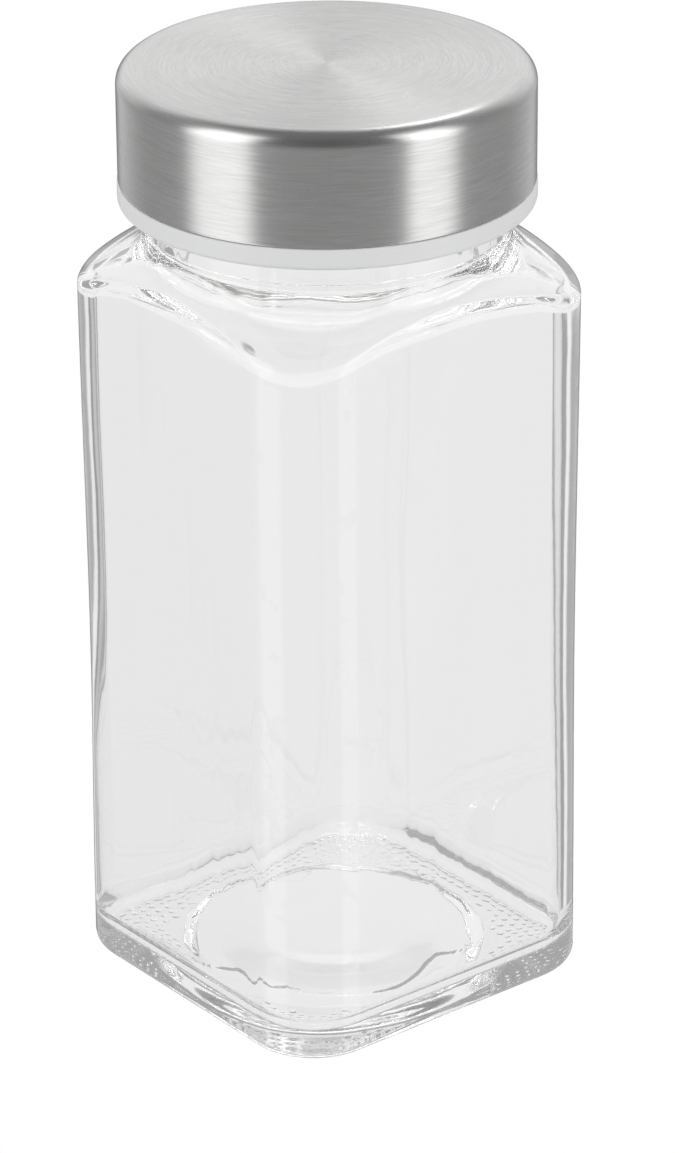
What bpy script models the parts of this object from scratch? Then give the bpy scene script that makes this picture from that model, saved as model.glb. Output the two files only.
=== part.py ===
"""A square glass salt shaker with a sifter in its mouth and a brushed steel screw cap.

Lengths are in metres. The jar stands on the floor at the origin, its mouth up along +Z, its flat
sides square to X and Y. Every piece is coaxial with Z. The cap is made of a steel shell over a
threaded plastic cap, with a foam seal inside. It turns anticlockwise and climbs the jar's thread.
"""

import math

import bmesh
import bpy

# Jar, outside
BODY_WIDTH = 0.045  # over the flat sides
CORNER_RADIUS = 0.0086  # of the jar's four upright corners
WALL_WAIST = 0.00015  # how far the flat sides draw in at half height
HEEL_RADIUS = 0.0020  # between the sides and the base
SHOULDER_SLOPE = math.radians(30)  # above level, measured over a corner
SHOULDER_ROUND = 0.0020  # where a corner turns into the shoulder
SHOULDER_ARCH = 0.0029  # how much higher the crease runs in the middle of a flat side
NECK_BASE_HEIGHT = 0.0890  # where the shoulder meets the neck
NECK_FLARE = 0.0005  # how far the foot of the neck stands out of the bead

# Jar, inside and underneath
SIDE_WALL = 0.0018  # glass in the flat sides
SHOULDER_WALL = 0.0020  # glass in the shoulder
INSIDE_CORNER_RADIUS = 0.0070
INSIDE_HEEL_RADIUS = 0.0030  # between the inside of the sides and the floor
FLOOR_HEIGHT = 0.0030  # of the jar's inside floor at its edge
FLOOR_CROWN = 0.0012  # how much the inside floor rises in the middle
PUNT_RADIUS = 0.0168  # round hollow under the base
PUNT_DEPTH = 0.0014

# Jar, neck
NECK_RADIUS = 0.0189
NECK_LENGTH = 0.0169  # from the shoulder to the lip
BORE_RADIUS = 0.0160
BEAD_STEP = 0.0015  # how far the bead stands out of the neck
BEAD_RISE = 0.0029  # from the shoulder to the bead's lower edge
BEAD_HEIGHT = 0.0018
BEAD_GROOVE = 0.0004  # how far the neck draws in under the bead
LIP_ROUND = 0.0006

# Screw thread, shared by the neck and the inner cap
THREAD_LEAD = 0.0042  # climb in one turn
THREAD_DEPTH = 0.0012
THREAD_ROOT_WIDTH = 0.0018
THREAD_CREST_WIDTH = 0.0008
NECK_THREAD_TURNS = 1.25
CAP_THREAD_TURNS = 1.1
THREAD_START = 0.0040  # from the bead's top to the middle of the thread's lower end
THREAD_CLEARANCE = 0.0004  # between the neck's crest and the inner cap's bore
THREAD_FADE_TURNS = 0.09  # over which each end of a ridge sinks into its wall
THREAD_SINK = 0.0005  # how far a ridge's foot is sunk into its wall

# Sifter in the mouth
SIFTER_PLATE = 0.0008
SIFTER_FLANGE_INSET = 0.0007  # flange edge inside the neck's outer radius
SIFTER_PLUG_DEPTH = 0.0050
SIFTER_PLUG_WALL = 0.0010
SIFTER_RIB = 0.00015  # two sealing ribs round the plug
SIFTER_RIB_HEIGHT = 0.0007
SIFTER_HOLE_RADIUS = 0.00125
SIFTER_HOLE_RINGS = ((1, 0.0), (6, 0.0065))  # holes, radius of their circle

# Foam seal, inner cap and steel shell
SEAL_THICKNESS = 0.0008
INNER_CAP_WALL = 0.0020
INNER_CAP_TOP = 0.0009
RIM_HEIGHT = 0.00225  # plastic rim that shows under the steel
RIM_STEP = 0.0001  # how far the rim stands out of the steel
RIM_EDGE = 0.00065  # rounding of the rim's lower edge
RIM_CLEARANCE = 0.0008  # between the bead's top and the rim
STEEL = 0.0004  # sheet thickness
STEEL_ROUND = 0.0019  # between the cap's top and its side

# Running gap between two pieces that touch on the real shaker
GAP = 0.0003

# Faceting
CORNER_POINTS = 12  # of the corner in each quarter of a level
ROUND_STEPS = 4  # of a rounding
WALL_LEVELS = 5  # over the height of the flat sides
SHOULDER_LEVELS = 3  # over the slope of the shoulder
HOLE_SIDES = 12

# Places that follow from the sizes above
QUARTER = math.pi / 2
QUARTER_POINTS = CORNER_POINTS + 1
TURN_POINTS = 4 * QUARTER_POINTS
HALF_WIDTH = BODY_WIDTH / 2
BEAD_RADIUS = NECK_RADIUS + BEAD_STEP
FLARE_RADIUS = BEAD_RADIUS + NECK_FLARE
BEAD_BOTTOM = NECK_BASE_HEIGHT + BEAD_RISE
BEAD_TOP = BEAD_BOTTOM + BEAD_HEIGHT
LIP_HEIGHT = NECK_BASE_HEIGHT + NECK_LENGTH
PLATE_BOTTOM = LIP_HEIGHT + GAP
PLATE_TOP = PLATE_BOTTOM + SIFTER_PLATE
SEAL_BOTTOM = PLATE_TOP + GAP
SEAL_TOP = SEAL_BOTTOM + SEAL_THICKNESS
INNER_CAP_CEILING = SEAL_TOP + GAP
INNER_CAP_HEIGHT = INNER_CAP_CEILING + INNER_CAP_TOP
CAP_BORE_RADIUS = NECK_RADIUS + THREAD_DEPTH + THREAD_CLEARANCE
INNER_CAP_RADIUS = CAP_BORE_RADIUS + INNER_CAP_WALL
STEEL_BORE_RADIUS = INNER_CAP_RADIUS + GAP
STEEL_RADIUS = STEEL_BORE_RADIUS + STEEL
STEEL_HEIGHT = INNER_CAP_HEIGHT + GAP + STEEL
RIM_BOTTOM = BEAD_TOP + RIM_CLEARANCE
RIM_TOP = RIM_BOTTOM + RIM_HEIGHT
THREAD_BASE = BEAD_TOP + THREAD_START


def material(name, colour, roughness, metallic=0.0, clear=0.0):
    """A plain Principled material for one kind of stuff."""
    made = bpy.data.materials.new(name)
    made.use_nodes = True
    shader = made.node_tree.nodes["Principled BSDF"]
    shader.inputs["Base Color"].default_value = (*colour, 1.0)
    shader.inputs["Roughness"].default_value = roughness
    shader.inputs["Metallic"].default_value = metallic
    shader.inputs["Transmission Weight"].default_value = clear
    made.diffuse_color = (*colour, 1.0)
    return made


def diagonal(half, corner):
    """Distance from the axis to the corner of a rounded square level."""
    return (half - corner) * math.sqrt(2) + corner


def corner_for(half, reach):
    """Corner radius that puts the corner of a level of this half width at this reach."""
    return (half * math.sqrt(2) - reach) / (math.sqrt(2) - 1)


def level_points(half, corner, height, arch=0.0):
    """One level of a piece: a rounded square, or a circle where corner equals half.

    Each quarter has a point in the middle of its flat side and then those of its corner. The ends
    of the corner's arc open up as the level turns round, so that the points of a circle are evenly
    spaced. The arch lifts the middle of each flat side, and the rest less towards the corners.
    """
    roundness = min(corner / half, 1.0) ** 6
    spread = roundness * QUARTER / QUARTER_POINTS
    centre = (half - corner) * math.sqrt(2)
    reach = diagonal(half, corner)
    climb = arch / (reach - half) if corner < half * 0.999 else 0.0
    points = []
    for quarter in range(4):
        start = quarter * QUARTER
        middle = start + QUARTER / 2
        places = [(half * math.cos(start), half * math.sin(start))]
        for step in range(CORNER_POINTS):
            share = step / (CORNER_POINTS - 1)
            angle = start + spread + (QUARTER - 2 * spread) * share
            x = centre * math.cos(middle) + corner * math.cos(angle)
            y = centre * math.sin(middle) + corner * math.sin(angle)
            places.append((x, y))
        for x, y in places:
            points.append((x, y, height + climb * (reach - math.hypot(x, y))))
    return points


def finish_mesh(work, name, paint, seat, crease=35):
    """Turns a bmesh into a named object that sits at a height on the axis."""
    bmesh.ops.recalc_face_normals(work, faces=work.faces)
    mesh = bpy.data.meshes.new(name)
    work.to_mesh(mesh)
    work.free()
    mesh.shade_smooth()
    mesh.set_sharp_from_angle(angle=math.radians(crease))
    made = bpy.data.objects.new(name, mesh)
    made.location.z = seat
    if paint:
        mesh.materials.append(paint)
    bpy.context.scene.collection.objects.link(made)
    return made


def skin(name, levels, paint, seat=0.0):
    """A closed piece through its levels, capped at both ends.

    A level is (half, corner, height), with its arch as a fourth value where it has one.
    """
    work = bmesh.new()
    rings = []
    for half, corner, height, *arch in levels:
        points = level_points(half, corner, height - seat, *arch)
        rings.append([work.verts.new(point) for point in points])
    for lower, upper in zip(rings, rings[1:]):
        for here in range(TURN_POINTS):
            after = (here + 1) % TURN_POINTS
            work.faces.new((lower[here], lower[after], upper[after], upper[here]))
    work.faces.new(rings[0])
    work.faces.new(rings[-1])
    return finish_mesh(work, name, paint, seat)


def turned(name, profile, paint, seat):
    """A closed round piece whose profile, each (radius, height), starts and ends near the axis."""
    return skin(name, [(radius, radius, height) for radius, height in profile], paint, seat)


def rounding(centre, radius, start, end):
    """Points of an arc in the plane of radius and height, both ends included."""
    angles = [start + (end - start) * step / ROUND_STEPS for step in range(ROUND_STEPS + 1)]
    return [(centre[0] + radius * math.cos(a), centre[1] + radius * math.sin(a)) for a in angles]


def helper(made, owner):
    """Marks an object as a guide that only shapes its owner."""
    made.hide_render = True
    made.display_type = "WIRE"
    made.parent = owner
    made.matrix_parent_inverse = owner.matrix_world.inverted()


def shape_with(owner, tool, operation):
    """Joins a tool to its owner, or cuts it out."""
    bpy.context.view_layer.update()
    helper(tool, owner)
    change = owner.modifiers.new(tool.name, "BOOLEAN")
    change.operation = operation
    change.object = tool
    change.solver = "EXACT"


def thread_ridge(name, wall, crest, first_turn, turns, base):
    """A helical ridge from inside its wall's radius to its crest's radius.

    Turns are counted from the ridge's own lower end. Both ends sink into the wall.
    """
    outward = 1 if crest > wall else -1
    foot = wall - outward * THREAD_SINK
    steps = round(turns * TURN_POINTS)
    work = bmesh.new()
    rings = []
    for step in range(steps + 1):
        turn = turns * step / steps
        angle = 2 * math.pi * (first_turn + turn)
        middle = base + THREAD_LEAD * (first_turn + turn)
        rise = min(turn / THREAD_FADE_TURNS, (turns - turn) / THREAD_FADE_TURNS, 1.0)
        rise = math.sin(rise * QUARTER)
        low = wall - outward * THREAD_SINK / 2
        top = low + (crest - low) * rise
        ring = []
        for radius, offset in (
            (foot, -THREAD_ROOT_WIDTH / 2),
            (top, -THREAD_CREST_WIDTH / 2),
            (top, THREAD_CREST_WIDTH / 2),
            (foot, THREAD_ROOT_WIDTH / 2),
        ):
            x = radius * math.cos(angle)
            y = radius * math.sin(angle)
            ring.append(work.verts.new((x, y, middle + offset)))
        rings.append(ring)
    for one, two in zip(rings, rings[1:]):
        for here in range(4):
            after = (here + 1) % 4
            work.faces.new((one[here], one[after], two[after], two[here]))
    work.faces.new(rings[0])
    work.faces.new(rings[-1])
    return finish_mesh(work, name, None, 0.0)


def side_levels(half, corner, bottom, top):
    """Levels of the flat sides, drawn in at half height by the waist and arched at the top."""
    levels = []
    for step in range(WALL_LEVELS + 1):
        share = step / WALL_LEVELS
        waist = WALL_WAIST * math.sin(math.pi * share) ** 2
        arch = SHOULDER_ARCH if step == WALL_LEVELS else 0.0
        levels.append((half - waist, corner, bottom + (top - bottom) * share, arch))
    return levels


def shoulder_levels(half, corner, neck, neck_height):
    """Levels from the top of the sides, round the corner and up the slope to the neck.

    The profile over a corner of the jar is a rounding and a straight slope. Over the flat sides
    the shoulder leans in evenly from a crease, which starts at the height where the corners start
    to turn and runs in an arch over each side.
    """
    reach = diagonal(half, corner)
    slope = math.tan(SHOULDER_SLOPE)
    peak = neck_height - (reach - neck) * slope
    tangent = SHOULDER_ROUND * math.tan((QUARTER - SHOULDER_SLOPE) / 2)
    centre = (reach - SHOULDER_ROUND, peak - tangent)
    profile = rounding(centre, SHOULDER_ROUND, 0.0, QUARTER - SHOULDER_SLOPE)
    last_radius, last_height = profile[-1]
    for step in range(1, SHOULDER_LEVELS + 1):
        share = step / SHOULDER_LEVELS
        radius = last_radius + (neck - last_radius) * share
        profile.append((radius, last_height + (neck_height - last_height) * share))
    crease = profile[0][1]
    levels = []
    for radius, height in profile:
        share = (height - crease) / (neck_height - crease)
        side = half + (neck - half) * share
        levels.append((side, corner_for(side, radius), height, SHOULDER_ARCH * (1 - share)))
    return levels


def base_levels():
    """Levels from the middle of the punt, over the flat ring that the jar stands on, to the heel."""
    punt = [(radius, radius, height) for radius, height in (
        (PUNT_RADIUS * 0.75, PUNT_DEPTH),
        (PUNT_RADIUS * 0.92, PUNT_DEPTH * 0.75),
        (PUNT_RADIUS, PUNT_DEPTH * 0.25),
        (PUNT_RADIUS + PUNT_DEPTH * 0.25, 0.0),
    )]
    heel = []
    arc = rounding((HALF_WIDTH - HEEL_RADIUS, HEEL_RADIUS), HEEL_RADIUS, -QUARTER, 0.0)
    for half, height in arc[:-1]:
        heel.append((half, CORNER_RADIUS - (HALF_WIDTH - half), height))
    return punt + heel


def inside_floor_levels(half, corner):
    """Levels from the sides, round the inside heel and over the floor, which rises in the middle."""
    centre = (half - INSIDE_HEEL_RADIUS, FLOOR_HEIGHT + INSIDE_HEEL_RADIUS)
    arc = rounding(centre, INSIDE_HEEL_RADIUS, 0.0, -QUARTER)
    levels = [(side, corner - (half - side), height) for side, height in arc[1:]]
    for share, rise in ((0.85, 0.25), (0.6, 0.7), (0.3, 1.0), (0.1, 1.0)):
        radius = centre[0] * share
        levels.append((radius, radius, FLOOR_HEIGHT + FLOOR_CROWN * rise))
    return levels


def glass_bottle(paint):
    """The jar: one skin from under the base, up the outside, over the lip and down the inside."""
    shoulder = shoulder_levels(HALF_WIDTH, CORNER_RADIUS, FLARE_RADIUS, NECK_BASE_HEIGHT)
    sides = side_levels(HALF_WIDTH, CORNER_RADIUS, HEEL_RADIUS, shoulder[0][2])

    bead_edge = BEAD_HEIGHT / 4
    groove = BEAD_RADIUS - BEAD_GROOVE
    lip = rounding((NECK_RADIUS - LIP_ROUND, LIP_HEIGHT - LIP_ROUND), LIP_ROUND, 0.0, QUARTER)
    mouth = rounding((BORE_RADIUS + LIP_ROUND, LIP_HEIGHT - LIP_ROUND), LIP_ROUND, QUARTER, 2 * QUARTER)
    neck = [
        (groove, NECK_BASE_HEIGHT + FLARE_RADIUS - groove),
        (groove, BEAD_BOTTOM - BEAD_GROOVE),
        (BEAD_RADIUS, BEAD_BOTTOM),
        (BEAD_RADIUS, BEAD_TOP - bead_edge),
        (BEAD_RADIUS - bead_edge, BEAD_TOP),
        (NECK_RADIUS, BEAD_TOP + bead_edge),
        *lip,
        *mouth,
    ]

    inside_half = HALF_WIDTH - SIDE_WALL
    inside_reach = diagonal(inside_half, INSIDE_CORNER_RADIUS)
    drop = SHOULDER_WALL / math.cos(SHOULDER_SLOPE)
    bore_end = NECK_BASE_HEIGHT - drop + (FLARE_RADIUS - BORE_RADIUS) * math.tan(SHOULDER_SLOPE)
    inside_shoulder = shoulder_levels(inside_half, INSIDE_CORNER_RADIUS, BORE_RADIUS, bore_end)
    inside_base = FLOOR_HEIGHT + INSIDE_HEEL_RADIUS
    inside_sides = side_levels(
        inside_half, INSIDE_CORNER_RADIUS, inside_base, inside_shoulder[0][2]
    )

    levels = base_levels()
    levels += sides
    levels += shoulder[1:]
    levels += [(radius, radius, height) for radius, height in neck]
    levels += inside_shoulder[::-1]
    levels += inside_sides[-2::-1]
    levels += inside_floor_levels(inside_half, INSIDE_CORNER_RADIUS)
    jar = skin("glass_bottle", levels, paint)

    crest = NECK_RADIUS + THREAD_DEPTH
    ridge = thread_ridge("neck_thread", NECK_RADIUS, crest, 0.0, NECK_THREAD_TURNS, THREAD_BASE)
    shape_with(jar, ridge, "UNION")
    return jar


def sifter_holes():
    """Upright prisms where the holes go, all in one guide."""
    work = bmesh.new()
    for count, circle in SIFTER_HOLE_RINGS:
        for place in range(count):
            turn = 2 * math.pi * place / count
            x = circle * math.cos(turn)
            y = circle * math.sin(turn)
            ends = []
            for height in (PLATE_BOTTOM - SIFTER_PLATE, PLATE_TOP + SIFTER_PLATE):
                ring = []
                for side in range(HOLE_SIDES):
                    angle = 2 * math.pi * side / HOLE_SIDES
                    reach_x = SIFTER_HOLE_RADIUS * math.cos(angle)
                    reach_y = SIFTER_HOLE_RADIUS * math.sin(angle)
                    ring.append(work.verts.new((x + reach_x, y + reach_y, height)))
                ends.append(ring)
            for side in range(HOLE_SIDES):
                after = (side + 1) % HOLE_SIDES
                work.faces.new((ends[0][side], ends[0][after], ends[1][after], ends[1][side]))
            work.faces.new(ends[0])
            work.faces.new(ends[1])
    return finish_mesh(work, "sifter_holes", None, 0.0)


def shaker_insert(paint):
    """The sifter: a pierced plate on the lip and a ribbed plug in the bore."""
    flange = NECK_RADIUS - SIFTER_FLANGE_INSET
    plug = BORE_RADIUS - GAP
    plug_inside = plug - SIFTER_PLUG_WALL
    plug_bottom = PLATE_BOTTOM - SIFTER_PLUG_DEPTH
    soft = SIFTER_PLATE / 4
    profile = [
        (flange / 2, PLATE_TOP),
        (flange - soft, PLATE_TOP),
        (flange, PLATE_TOP - soft),
        (flange, PLATE_BOTTOM),
        (plug, PLATE_BOTTOM),
    ]
    for share in (0.35, 0.7):
        middle = PLATE_BOTTOM - SIFTER_PLUG_DEPTH * share
        profile += [
            (plug, middle + SIFTER_RIB_HEIGHT / 2),
            (plug + SIFTER_RIB, middle),
            (plug, middle - SIFTER_RIB_HEIGHT / 2),
        ]
    profile += [
        (plug, plug_bottom + soft),
        (plug - soft, plug_bottom),
        (plug_inside, plug_bottom),
        (plug_inside, PLATE_BOTTOM),
        (plug_inside / 2, PLATE_BOTTOM),
    ]
    sifter = turned("shaker_insert", profile, paint, PLATE_BOTTOM)
    shape_with(sifter, sifter_holes(), "DIFFERENCE")
    return sifter


def seal_disc(paint):
    """The foam disc that the inner cap presses on the sifter."""
    edge = CAP_BORE_RADIUS - GAP
    soft = SEAL_THICKNESS / 4
    profile = [
        (edge / 2, SEAL_TOP),
        (edge - soft, SEAL_TOP),
        (edge, SEAL_TOP - soft),
        (edge, SEAL_BOTTOM + soft),
        (edge - soft, SEAL_BOTTOM),
        (edge / 2, SEAL_BOTTOM),
    ]
    return turned("seal_disc", profile, paint, SEAL_BOTTOM)


def inner_cap(paint):
    """The threaded plastic cap, whose rim shows under the steel shell."""
    rim = STEEL_RADIUS + RIM_STEP
    shell_round = STEEL_ROUND - STEEL - GAP
    crown = rounding(
        (INNER_CAP_RADIUS - shell_round, INNER_CAP_HEIGHT - shell_round),
        shell_round,
        QUARTER,
        0.0,
    )
    edge = rounding((rim - RIM_EDGE, RIM_BOTTOM + RIM_EDGE), RIM_EDGE, 0.0, -QUARTER)
    profile = [
        (INNER_CAP_RADIUS / 2, INNER_CAP_HEIGHT),
        *crown,
        (INNER_CAP_RADIUS, RIM_TOP),
        (rim, RIM_TOP),
        *edge,
        (CAP_BORE_RADIUS + RIM_EDGE, RIM_BOTTOM),
        (CAP_BORE_RADIUS, RIM_BOTTOM + RIM_EDGE),
        (CAP_BORE_RADIUS, INNER_CAP_CEILING),
        (CAP_BORE_RADIUS / 2, INNER_CAP_CEILING),
    ]
    cap = turned("inner_cap", profile, paint, RIM_BOTTOM)

    # The cap's ridge runs in the middle of the neck's groove, half a lead below the neck's ridge.
    crest = CAP_BORE_RADIUS - THREAD_DEPTH
    base = THREAD_BASE - THREAD_LEAD / 2
    lowest = (RIM_BOTTOM + RIM_EDGE + THREAD_ROOT_WIDTH / 2 - base) / THREAD_LEAD
    ridge = thread_ridge("cap_thread", CAP_BORE_RADIUS, crest, lowest, CAP_THREAD_TURNS, base)
    shape_with(cap, ridge, "UNION")
    return cap


def steel_cap(paint):
    """The drawn steel shell over the inner cap."""
    bottom = RIM_TOP + GAP
    crown = rounding(
        (STEEL_RADIUS - STEEL_ROUND, STEEL_HEIGHT - STEEL_ROUND), STEEL_ROUND, QUARTER, 0.0
    )
    inside_round = STEEL_ROUND - STEEL
    ceiling = rounding(
        (STEEL_BORE_RADIUS - inside_round, STEEL_HEIGHT - STEEL - inside_round),
        inside_round,
        0.0,
        QUARTER,
    )
    profile = [
        (STEEL_RADIUS / 2, STEEL_HEIGHT),
        *crown,
        (STEEL_RADIUS, bottom),
        (STEEL_BORE_RADIUS, bottom),
        *ceiling,
        (STEEL_BORE_RADIUS / 2, STEEL_HEIGHT - STEEL),
    ]
    return turned("steel_cap", profile, paint, RIM_TOP)


def build():
    for old in list(bpy.data.objects):
        bpy.data.objects.remove(old, do_unlink=True)

    glass = material("clear_glass", (0.93, 0.95, 0.94), 0.02, clear=1.0)
    steel = material("brushed_steel", (0.62, 0.62, 0.61), 0.32, metallic=1.0)
    milky = material("milky_plastic", (0.86, 0.87, 0.87), 0.4)
    white = material("white_plastic", (0.9, 0.9, 0.89), 0.45)
    foam = material("white_foam", (0.93, 0.93, 0.91), 0.9)

    glass_bottle(glass)
    shaker_insert(white)
    seal_disc(foam)

    axis = bpy.data.objects.new("cap_axis", None)
    axis.location.z = RIM_BOTTOM
    bpy.context.scene.collection.objects.link(axis)
    for piece in (inner_cap(milky), steel_cap(steel)):
        piece.parent = axis
        piece.location.z -= RIM_BOTTOM


build()
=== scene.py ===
import math

import bmesh
import bpy
import numpy as np
from mathutils import Matrix, Vector


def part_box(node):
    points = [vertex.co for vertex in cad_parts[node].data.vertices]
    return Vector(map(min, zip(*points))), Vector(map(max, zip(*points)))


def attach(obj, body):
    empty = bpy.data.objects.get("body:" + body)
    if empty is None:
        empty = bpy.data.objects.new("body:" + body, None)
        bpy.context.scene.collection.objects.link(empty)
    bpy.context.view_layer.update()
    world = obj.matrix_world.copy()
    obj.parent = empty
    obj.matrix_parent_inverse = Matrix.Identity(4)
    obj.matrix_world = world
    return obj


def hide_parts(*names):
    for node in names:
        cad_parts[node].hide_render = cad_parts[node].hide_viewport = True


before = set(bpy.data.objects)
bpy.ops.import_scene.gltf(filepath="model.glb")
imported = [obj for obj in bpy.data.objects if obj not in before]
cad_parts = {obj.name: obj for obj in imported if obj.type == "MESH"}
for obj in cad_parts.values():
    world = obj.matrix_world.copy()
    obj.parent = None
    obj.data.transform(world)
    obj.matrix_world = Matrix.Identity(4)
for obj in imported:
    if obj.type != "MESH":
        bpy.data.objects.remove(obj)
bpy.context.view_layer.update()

QUARTER = math.pi / 2
MM = 0.001

# Sizes that the solids have too, in metres, and the threads' lengths and ends in turns
HALF_WIDTH = 0.0225
CORNER_RADIUS = 0.0086
WALL_WAIST = 0.00015
HEEL_RADIUS = 0.0020
SHOULDER_SLOPE = math.radians(30)
SHOULDER_ROUND = 0.0020
NECK_BASE_HEIGHT = 0.0890
NECK_RADIUS = 0.0189
BEAD_RADIUS = 0.0204
FLARE_RADIUS = 0.0209
BEAD_BOTTOM = 0.0919
BEAD_TOP = 0.0937
LIP_HEIGHT = 0.1059
LIP_ROUND = 0.0006
BORE_RADIUS = 0.0160
SIDE_WALL = 0.0018
BORE_END = 0.08952
INSIDE_CORNER_RADIUS = 0.0070
INSIDE_HEEL_RADIUS = 0.0030
FLOOR_HEIGHT = 0.0030
FLOOR_CROWN = 0.0012
PUNT_RADIUS = 0.01715
PUNT_DEPTH = 0.0014
THREAD_LEAD = 0.0042
THREAD_DEPTH = 0.0012
THREAD_BASE = 0.0977
NECK_THREAD_TURNS = 1.25
CAP_THREAD_TURNS = 1.1
TAPER = 0.09
TOP_ROUND = 0.0019
CLEARANCE = 0.0003

# Sizes of these meshes alone, in metres. In the solids the crease rises 0.3 mm more in the middle of
# a side, the groove under the bead is 0.2 mm deeper, and there are no dots.
SHOULDER_ARCH = 0.0026
SHOULDER_SOFT = 0.0022
ARCH_FADE = 0.006
FOOT_ROUND = 0.0042
GROOVE_RADIUS = 0.0202
BEAD_EDGE = 0.0005
BEAD_FOOT = 0.0003
PUNT_SOFT = 0.0022
DOT_PITCH = 0.0015
DOT_RADIUS = 0.00045
DOT_HEIGHT = 0.00016
DOT_EDGE = 0.0200

# Radius of the small face that closes a round mesh on its axis
TIP = 0.0006


def add_object(name, mesh, body, node, paint):
    """Puts a finished mesh in the scene, on its body and in the place of its solid."""
    made = bpy.data.objects.new(name, mesh)
    bpy.context.scene.collection.objects.link(made)
    mesh.materials.append(paint)
    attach(made, body)
    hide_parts(node)
    return made


def smooth(value):
    value = np.clip(value, 0.0, 1.0)
    return value * value * (3 - 2 * value)


def turn_angles():
    """Angles round the axis, closer together at the jar's corners."""
    fine = np.linspace(0, QUARTER, 2001)
    flat_end = math.radians(31.7)
    near = smooth((fine - flat_end + 0.10) / 0.10) * smooth((QUARTER - flat_end + 0.10 - fine) / 0.10)
    total = np.concatenate([[0], np.cumsum(1.0 + 2.2 * near[:-1])])
    total /= total[-1]
    one = np.interp(np.arange(144) / 144, total, fine)
    return np.concatenate([one + k * QUARTER for k in range(4)])


ANGLES = turn_angles()


def square_reach(half, corner, angles):
    """Distance from the axis to the outline of a rounded square in each direction."""
    fold = np.abs((angles + QUARTER / 2) % QUARTER - QUARTER / 2)
    centre = half - corner
    along = centre * (np.cos(fold) + np.sin(fold))
    arc = along + np.sqrt(np.maximum(along**2 - (2 * centre**2 - corner**2), 0.0))
    straight = half / np.cos(fold)
    return np.where(np.tan(fold) * half <= centre, straight, arc)


def diagonal(half, corner):
    return (half - corner) * math.sqrt(2) + corner


def corner_for(half, reach):
    return (half * math.sqrt(2) - reach) / (math.sqrt(2) - 1)


def arc_points(centre, radius, start, end, steps):
    angles = np.linspace(start, end, steps + 1)
    return [(centre[0] + radius * math.cos(a), centre[1] + radius * math.sin(a)) for a in angles]


def closed_skin(name, rings):
    """A closed mesh through rings of points, each end filled by one face."""
    count = len(rings[0])
    points = np.concatenate(rings)
    faces = []
    for row in range(len(rings) - 1):
        base = row * count
        here = base + np.arange(count)
        after = base + (np.arange(count) + 1) % count
        faces += np.stack([here, after, after + count, here + count], 1).tolist()
    faces.append(list(range(count)))
    last = (len(rings) - 1) * count
    faces.append(list(range(last, last + count)))
    mesh = bpy.data.meshes.new(name)
    mesh.from_pydata(points.tolist(), [], faces)
    work = bmesh.new()
    work.from_mesh(mesh)
    bmesh.ops.recalc_face_normals(work, faces=work.faces)
    work.to_mesh(mesh)
    work.free()
    mesh.shade_smooth()
    return mesh


# Waves round the wall, radians of shift per metre of height, and share of the whole
UNEVEN_WAVES = (
    (3, 70, 1.0), (5, -110, 0.8), (8, 160, 0.5), (13, -60, 0.3), (34, 25, 0.10), (61, -15, 0.07),
    (97, 8, 0.04),
)


def waver(height, seed, size):
    """Small unevenness of a pressed glass wall round one level."""
    total = np.zeros(len(ANGLES))
    for step, (waves, climb, share) in enumerate(UNEVEN_WAVES):
        total += share * np.sin(waves * ANGLES + climb * height + 2.4 * step + seed)
    return total * size


def ring_at(half, corner, height, change=None, uneven=None):
    reach = square_reach(half, corner, ANGLES)
    heights = np.full(len(ANGLES), height)
    if change is not None:
        reach, heights = change(reach, heights)
    if uneven is not None:
        reach = reach + waver(height, *uneven)
    return np.stack([reach * np.cos(ANGLES), reach * np.sin(ANGLES), heights], 1)


def shoulder_profile(half, corner, neck, neck_height):
    """Levels of the shoulder, each (half, corner, height), from the crease to the neck."""
    reach = diagonal(half, corner)
    peak = neck_height - (reach - neck) * math.tan(SHOULDER_SLOPE)
    tangent = SHOULDER_ROUND * math.tan((QUARTER - SHOULDER_SLOPE) / 2)
    centre = (reach - SHOULDER_ROUND, peak - tangent)
    profile = arc_points(centre, SHOULDER_ROUND, 0.0, QUARTER - SHOULDER_SLOPE, 16)
    last_radius, last_height = profile[-1]
    for share in np.linspace(0, 1, 15)[1:]:
        profile.append((last_radius + (neck - last_radius) * share,
                        last_height + (neck_height - last_height) * share))
    crease = profile[0][1]
    rise = neck_height - crease
    lean = (half - neck) / rise
    soft = SHOULDER_SOFT
    levels = []
    for radius, height in profile:
        up = height - crease
        drawn = lean * (up - soft / 2) if up > soft else lean * up * up / (2 * soft)
        side = max(half - drawn * rise / (rise - soft / 2), neck)
        side = min(side, radius)
        levels.append((side, corner_for(side, radius), height))
    return levels


def arched(points, half, corner, crease, top):
    """Lifts the crease under the shoulder, most in the middle of each flat side."""
    lift = (diagonal(half, corner) - square_reach(half, corner, ANGLES)) / (diagonal(half, corner) - half)
    lift = SHOULDER_ARCH * np.maximum(lift, 0.0) ** 0.7
    heights = points[:, 2]
    above = (top - heights) / (top - crease)
    below = smooth((heights - crease) / ARCH_FADE + 1)
    share = np.where(heights > crease, above, below)
    points[:, 2] = heights + lift * np.clip(share, 0, 1)
    return points


def side_profile(half, corner, bottom, top, steps):
    """Levels of the flat sides, each (half, corner, height), drawn in a little at half height."""
    levels = []
    for share in np.linspace(0, 1, steps + 1):
        drawn = WALL_WAIST * math.sin(math.pi * share) ** 2
        levels.append((half - drawn, corner, bottom + (top - bottom) * share))
    return levels


DENT_WAVES = ((9, 0.4), (14, 2.1), (23, 4.0), (37, 1.3))
DENT_DEPTH = 0.00008


def uneven_neck(reach, heights):
    """Flat spots and shallow dents that pressing leaves round the bead and the foot of the neck."""
    dents = np.zeros(len(ANGLES))
    for waves, start in DENT_WAVES:
        dents += np.sin(waves * ANGLES + start)
    return reach - DENT_DEPTH * smooth(dents / 2.2), heights


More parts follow.
